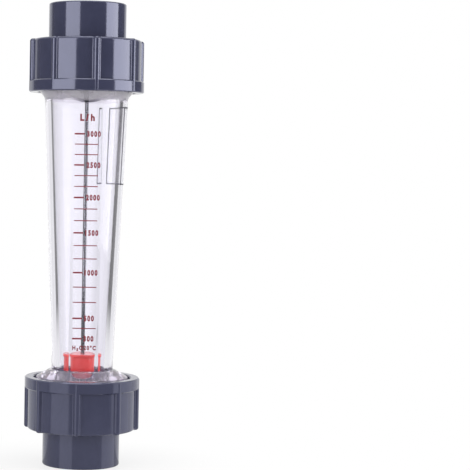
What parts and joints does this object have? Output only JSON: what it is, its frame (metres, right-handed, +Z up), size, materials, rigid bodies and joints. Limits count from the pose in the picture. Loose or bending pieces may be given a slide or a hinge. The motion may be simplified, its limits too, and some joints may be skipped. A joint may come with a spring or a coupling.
{
  "type": "rotameter",
  "caption": "Plastic-tube rotameter for water: clear tapered tube with a flat reading face, red float on a guide rod, and a ribbed union nut with a solvent pipe socket at each end.",
  "frame": {"origin": "centre of the lower pipe socket's mouth, on the plane that the meter stands on", "axes": "+Z up the tube in the direction of flow, -Y out of the flat reading face"},
  "size_m": [0.0596, 0.0596, 0.239],
  "materials": {
    "clear_plastic": "clear, polished moulding",
    "grey_plastic": "smooth, satin to gloss",
    "red_plastic": "smooth gloss",
    "stainless": "ground, bright",
    "seal_rubber": "smooth black",
    "guide_plastic": "natural white"
  },
  "bodies": {
    "meter": {"metering_tube": "clear_plastic", "lower_rod_guide": "guide_plastic", "upper_rod_guide": "guide_plastic", "guide_rod": "stainless", "lower_bumper": "seal_rubber", "upper_bumper": "seal_rubber"},
    "float": {"float_shell": "red_plastic", "float_weight": "stainless", "float_cap": "red_plastic"},
    "lower_tail": {"lower_socket": "grey_plastic", "lower_o_ring": "seal_rubber"},
    "lower_nut": {"lower_union_nut": "grey_plastic"},
    "upper_tail": {"upper_socket": "grey_plastic", "upper_o_ring": "seal_rubber"},
    "upper_nut": {"upper_union_nut": "grey_plastic"}
  },
  "joints": [
    {"name": "float_travel", "type": "slide", "parent": "meter", "child": "float", "axis": [0, 0, 1], "range_m": [0, 0.144]},
    {"name": "lower_union_draw", "type": "slide", "parent": "meter", "child": "lower_tail", "axis": [0, 0, -1], "range_m": [0, 0.018]},
    {"name": "lower_union_screw", "type": "hinge", "parent": "lower_tail", "child": "lower_nut", "pos_m": [0, 0, 0.03215], "axis": [0, 0, -1], "range_deg": [0, 2160]},
    {"name": "upper_union_draw", "type": "slide", "parent": "meter", "child": "upper_tail", "axis": [0, 0, 1], "range_m": [0, 0.018]},
    {"name": "upper_union_screw", "type": "hinge", "parent": "upper_tail", "child": "upper_nut", "pos_m": [0, 0, 0.20685], "axis": [0, 0, 1], "range_deg": [0, 2160]}
  ],
  "couplings": [
    {"joint": "lower_union_draw", "follows": "lower_union_screw", "m_per_rad": 0.00047746},
    {"joint": "upper_union_draw", "follows": "upper_union_screw", "m_per_rad": 0.00047746}
  ]
}
